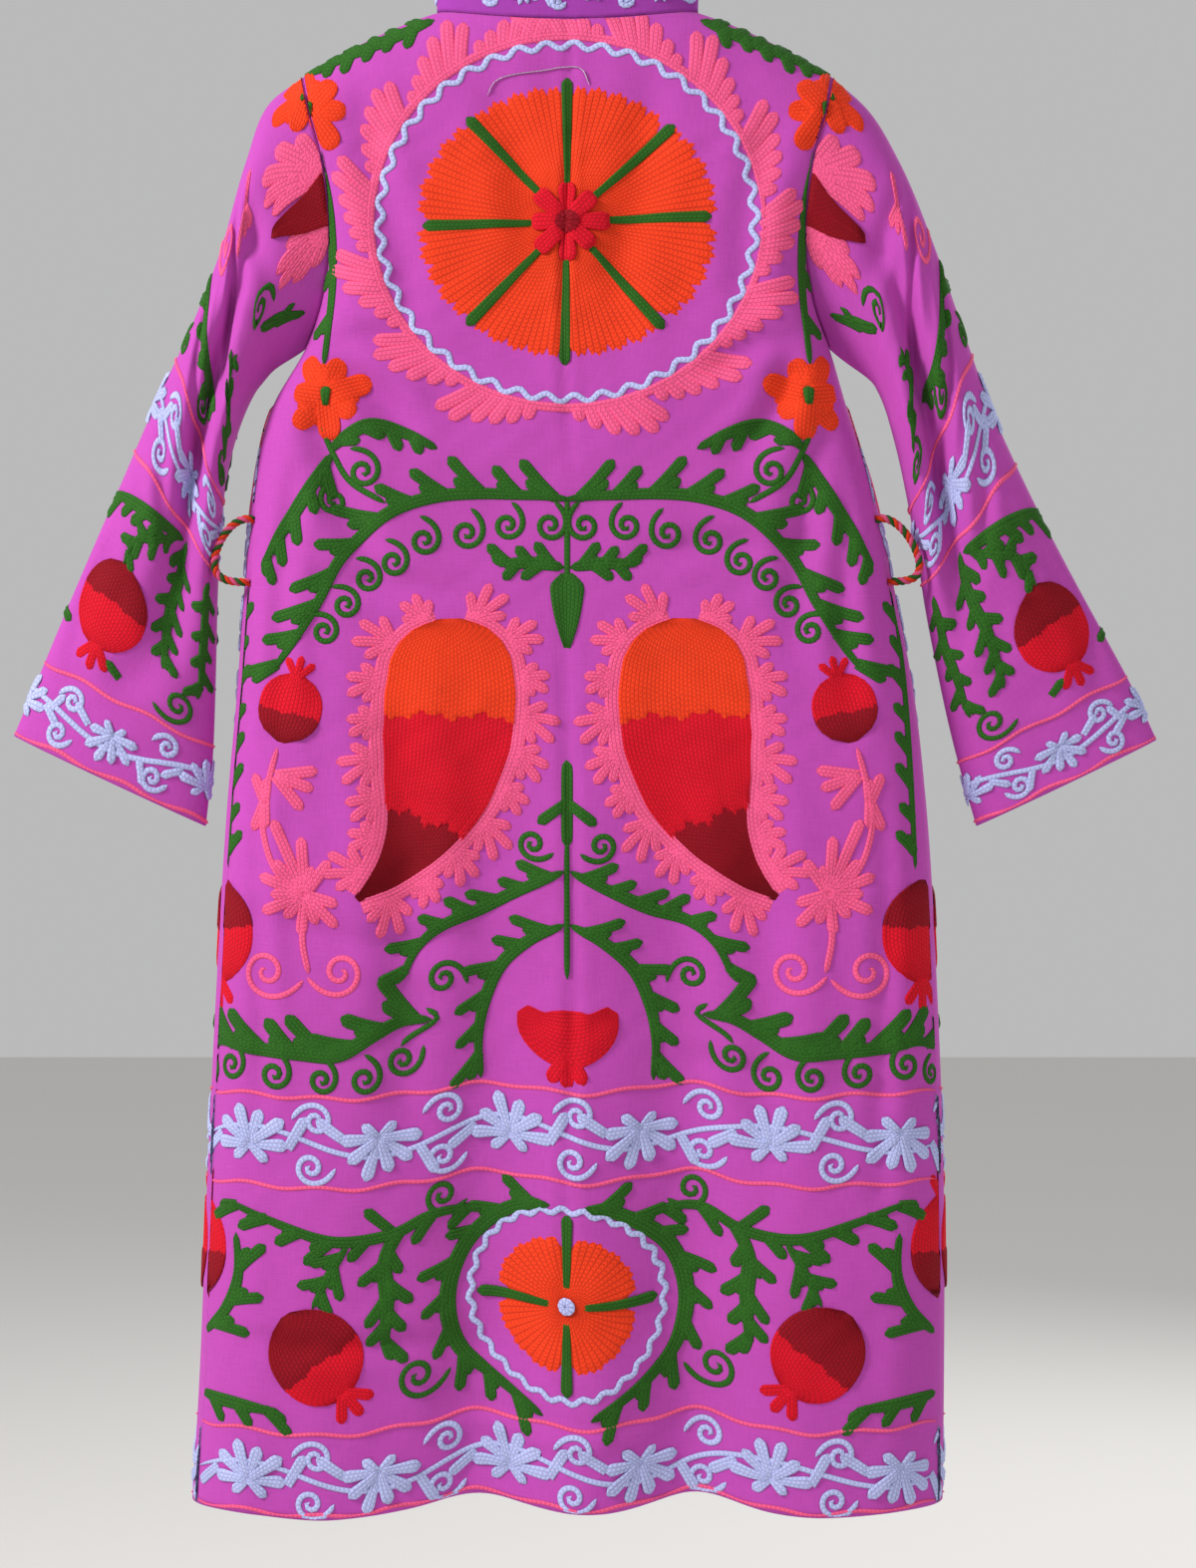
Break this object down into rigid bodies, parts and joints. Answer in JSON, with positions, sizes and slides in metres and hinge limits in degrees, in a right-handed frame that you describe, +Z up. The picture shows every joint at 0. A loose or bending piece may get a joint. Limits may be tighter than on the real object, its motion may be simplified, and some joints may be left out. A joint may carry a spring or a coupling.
{
  "type": "embroidered open-front robe on a clothes hanger",
  "caption": "Long-sleeved, open-front embroidered robe with a standing collar and side belt loops, hung on a shaped wooden hanger with a wire hook.",
  "frame": {"origin": "inside the top of the hanger's hook, where a rail bears", "axes": "+Z up; the robe's back faces -Y and its fronts face +Y; +X is to the right of someone looking at the back"},
  "size_m": [0.875, 0.1221, 1.2409],
  "materials": {
    "cloth": "matt orchid-purple cotton, embroidered all over",
    "collar_cloth": "matt purple cotton with light blue embroidery",
    "loop_thread": "twisted cotton thread in several colours",
    "wood": "clear satin varnish on beech",
    "steel": "bright zinc-plated wire"
  },
  "bodies": {
    "root": {"back": "cloth", "front_left": "cloth", "front_right": "cloth", "sleeve_left": "cloth", "sleeve_right": "cloth", "collar": "collar_cloth", "belt_loop_left": "loop_thread", "belt_loop_right": "loop_thread", "hanger": "wood", "hanger_hook": "steel"}
  },
  "joints": []
}
